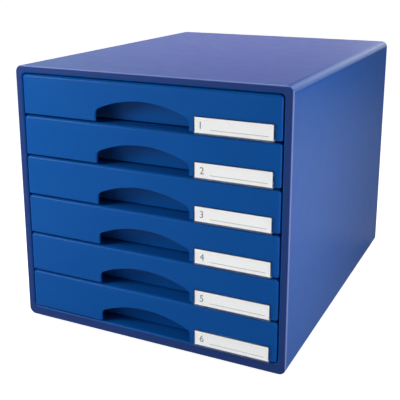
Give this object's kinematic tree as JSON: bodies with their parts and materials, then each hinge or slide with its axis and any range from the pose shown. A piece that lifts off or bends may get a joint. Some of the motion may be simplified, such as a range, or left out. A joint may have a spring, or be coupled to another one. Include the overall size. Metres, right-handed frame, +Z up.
{
  "type": "desktop drawer unit",
  "caption": "Desktop drawer unit: a rounded moulded case with shallow sliding paper trays, each with an arched finger cut-out and a clip-on label holder.",
  "frame": {"origin": "on the surface that the feet stand on, under the middle of the object's box", "axes": "+X to the right seen from the front, +Y from the front to the back, +Z up; the drawers slide out along -Y"},
  "size_m": [0.287, 0.3656, 0.27],
  "materials": {
    "case_plastic": "smooth moulded polystyrene, semi-gloss blue",
    "drawer_plastic": "smooth moulded polystyrene, semi-gloss blue",
    "runner_plastic": "moulded polystyrene, matt blue",
    "clear_plastic": "clear moulded polystyrene, gloss",
    "label_paper": "white paper card, matt",
    "foot_rubber": "black rubber, matt"
  },
  "bodies": {
    "case": {"case_shell": "case_plastic", "back_panel": "case_plastic", "runner_rack_left": "runner_plastic", "runner_rack_right": "runner_plastic", "foot_front_left": "foot_rubber", "foot_front_right": "foot_rubber", "foot_rear_left": "foot_rubber", "foot_rear_right": "foot_rubber"},
    "drawer_1": {"drawer_1": "drawer_plastic", "label_holder_1": "clear_plastic", "label_card_1": "label_paper"},
    "drawer_2": {"drawer_2": "drawer_plastic", "label_holder_2": "clear_plastic", "label_card_2": "label_paper"},
    "drawer_3": {"drawer_3": "drawer_plastic", "label_holder_3": "clear_plastic", "label_card_3": "label_paper"},
    "drawer_4": {"drawer_4": "drawer_plastic", "label_holder_4": "clear_plastic", "label_card_4": "label_paper"},
    "drawer_5": {"drawer_5": "drawer_plastic", "label_holder_5": "clear_plastic", "label_card_5": "label_paper"},
    "drawer_6": {"drawer_6": "drawer_plastic", "label_holder_6": "clear_plastic", "label_card_6": "label_paper"}
  },
  "joints": [
    {"name": "drawer_1_slide", "type": "slide", "parent": "case", "child": "drawer_1", "axis": [0, -1, 0], "range_m": [0, 0.25]},
    {"name": "drawer_2_slide", "type": "slide", "parent": "case", "child": "drawer_2", "axis": [0, -1, 0], "range_m": [0, 0.25]},
    {"name": "drawer_3_slide", "type": "slide", "parent": "case", "child": "drawer_3", "axis": [0, -1, 0], "range_m": [0, 0.25]},
    {"name": "drawer_4_slide", "type": "slide", "parent": "case", "child": "drawer_4", "axis": [0, -1, 0], "range_m": [0, 0.25]},
    {"name": "drawer_5_slide", "type": "slide", "parent": "case", "child": "drawer_5", "axis": [0, -1, 0], "range_m": [0, 0.25]},
    {"name": "drawer_6_slide", "type": "slide", "parent": "case", "child": "drawer_6", "axis": [0, -1, 0], "range_m": [0, 0.25]}
  ]
}
